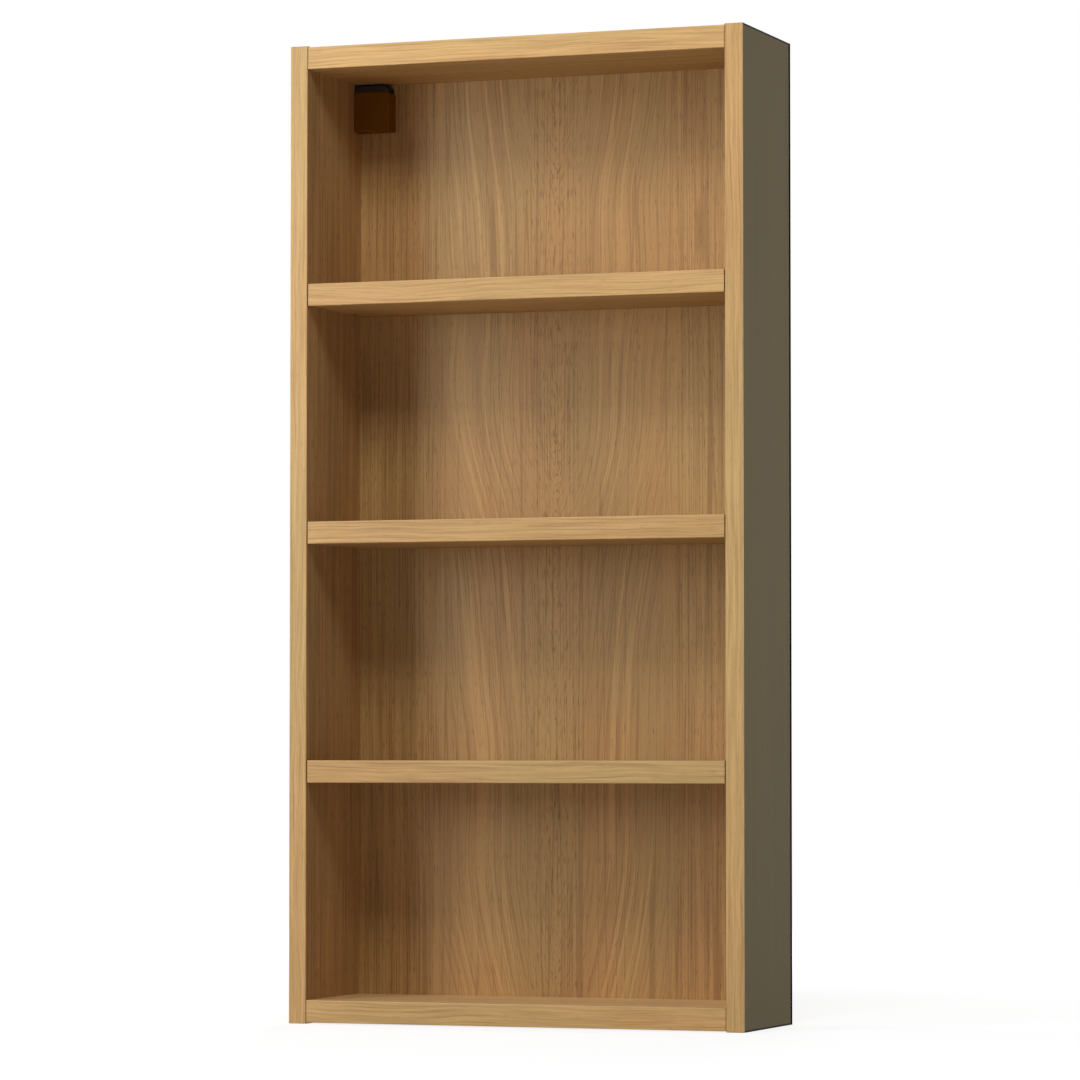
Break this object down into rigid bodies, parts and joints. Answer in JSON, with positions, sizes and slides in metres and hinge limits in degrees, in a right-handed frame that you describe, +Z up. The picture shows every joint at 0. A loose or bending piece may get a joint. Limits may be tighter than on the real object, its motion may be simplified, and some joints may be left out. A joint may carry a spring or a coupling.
{
  "type": "bookcase",
  "caption": "Shallow wall bookcase with an oak case, lift-off shelves on hidden pins and adjustable hangers in its upper corners.",
  "frame": {"origin": "middle of the case's footprint, on the plane that the lower ends of the two sides stand on", "axes": "+Z up, +Y towards the wall behind the case, +X to the right seen from the front"},
  "size_m": [0.6, 0.195, 1.231],
  "materials": {
    "oak_upright_grain": "matt lacquered oak veneer, upright grain",
    "oak_level_grain": "matt lacquered oak veneer, level grain",
    "oak_edging": "matt lacquered solid oak, grain along the strip",
    "outer_laminate": "matt dark olive-grey laminate with a faint upright grain",
    "beech_dowel": "raw beech",
    "zinc": "die-cast zinc, nickel-plated",
    "plated_steel": "bright zinc-plated steel",
    "hook_steel": "zinc-plated steel plate",
    "dark_steel": "blue-black steel sheet",
    "oak_cap": "oak-coloured plastic",
    "brown_cover": "satin brown plastic"
  },
  "bodies": {
    "case": {"left_side_panel": "oak_upright_grain", "right_side_panel": "oak_upright_grain", "left_side_laminate": "outer_laminate", "right_side_laminate": "outer_laminate", "left_side_edging": "oak_edging", "right_side_edging": "oak_edging", "top_board": "oak_level_grain", "top_edging": "oak_edging", "bottom_board": "oak_level_grain", "bottom_edging": "oak_edging", "back_panel": "oak_upright_grain", "carcass_dowels": "beech_dowel", "cam_locks": "zinc", "cam_bolts": "plated_steel", "lower_shelf_pins": "plated_steel", "middle_shelf_pins": "plated_steel", "upper_shelf_pins": "plated_steel", "spare_hole_caps": "oak_cap", "left_hanger_housing": "dark_steel", "right_hanger_housing": "dark_steel", "left_hanger_fixing_screws": "plated_steel", "right_hanger_fixing_screws": "plated_steel"},
    "lower_shelf": {"lower_shelf": "oak_level_grain", "lower_shelf_edging": "oak_edging"},
    "middle_shelf": {"middle_shelf": "oak_level_grain", "middle_shelf_edging": "oak_edging"},
    "upper_shelf": {"upper_shelf": "oak_level_grain", "upper_shelf_edging": "oak_edging"},
    "left_hanger_cover": {"left_hanger_cover": "brown_cover"},
    "left_hanger_carriage": {"left_hanger_carriage": "zinc"},
    "left_hanger_hook": {"left_hanger_hook": "hook_steel"},
    "left_height_screw": {"left_height_screw": "plated_steel"},
    "left_depth_screw": {"left_depth_screw": "plated_steel"},
    "right_hanger_cover": {"right_hanger_cover": "brown_cover"},
    "right_hanger_carriage": {"right_hanger_carriage": "zinc"},
    "right_hanger_hook": {"right_hanger_hook": "hook_steel"},
    "right_height_screw": {"right_height_screw": "plated_steel"},
    "right_depth_screw": {"right_depth_screw": "plated_steel"}
  },
  "joints": [
    {"name": "lower_shelf_lift", "type": "slide", "parent": "case", "child": "lower_shelf", "axis": [0, 0, 1], "range_m": [0, 0.27]},
    {"name": "middle_shelf_lift", "type": "slide", "parent": "case", "child": "middle_shelf", "axis": [0, 0, 1], "range_m": [0, 0.27]},
    {"name": "upper_shelf_lift", "type": "slide", "parent": "case", "child": "upper_shelf", "axis": [0, 0, 1], "range_m": [0, 0.205]},
    {"name": "left_hanger_height", "type": "slide", "parent": "case", "child": "left_hanger_carriage", "axis": [0, 0, 1], "range_m": [-0.005, 0.005]},
    {"name": "left_height_screw_turn", "type": "hinge", "parent": "case", "child": "left_height_screw", "pos_m": [-0.2445, 0.0645, 1.1438], "axis": [0, 0, 1], "range_deg": [-1801, 1801]},
    {"name": "left_hanger_depth", "type": "slide", "parent": "left_hanger_carriage", "child": "left_hanger_hook", "axis": [0, 1, 0], "range_m": [-0.003, 0.003]},
    {"name": "left_depth_screw_turn", "type": "hinge", "parent": "left_hanger_carriage", "child": "left_depth_screw", "pos_m": [-0.259, 0.0574, 1.1715], "axis": [0, 1, 0], "range_deg": [-1351, 1351]},
    {"name": "left_hanger_cover_pull", "type": "slide", "parent": "case", "child": "left_hanger_cover", "axis": [0, -1, 0], "range_m": [0, 0.06]},
    {"name": "right_hanger_height", "type": "slide", "parent": "case", "child": "right_hanger_carriage", "axis": [0, 0, 1], "range_m": [-0.005, 0.005]},
    {"name": "right_height_screw_turn", "type": "hinge", "parent": "case", "child": "right_height_screw", "pos_m": [0.2445, 0.0645, 1.1438], "axis": [0, 0, 1], "range_deg": [-1801, 1801]},
    {"name": "right_hanger_depth", "type": "slide", "parent": "right_hanger_carriage", "child": "right_hanger_hook", "axis": [0, 1, 0], "range_m": [-0.003, 0.003]},
    {"name": "right_depth_screw_turn", "type": "hinge", "parent": "right_hanger_carriage", "child": "right_depth_screw", "pos_m": [0.259, 0.0574, 1.1715], "axis": [0, 1, 0], "range_deg": [-1351, 1351]},
    {"name": "right_hanger_cover_pull", "type": "slide", "parent": "case", "child": "right_hanger_cover", "axis": [0, -1, 0], "range_m": [0, 0.06]}
  ],
  "couplings": [
    {"joint": "left_height_screw_turn", "follows": "left_hanger_height", "rad_per_m": -6283.2},
    {"joint": "left_depth_screw_turn", "follows": "left_hanger_depth", "rad_per_m": -7854},
    {"joint": "right_height_screw_turn", "follows": "right_hanger_height", "rad_per_m": -6283.2},
    {"joint": "right_depth_screw_turn", "follows": "right_hanger_depth", "rad_per_m": -7854}
  ]
}
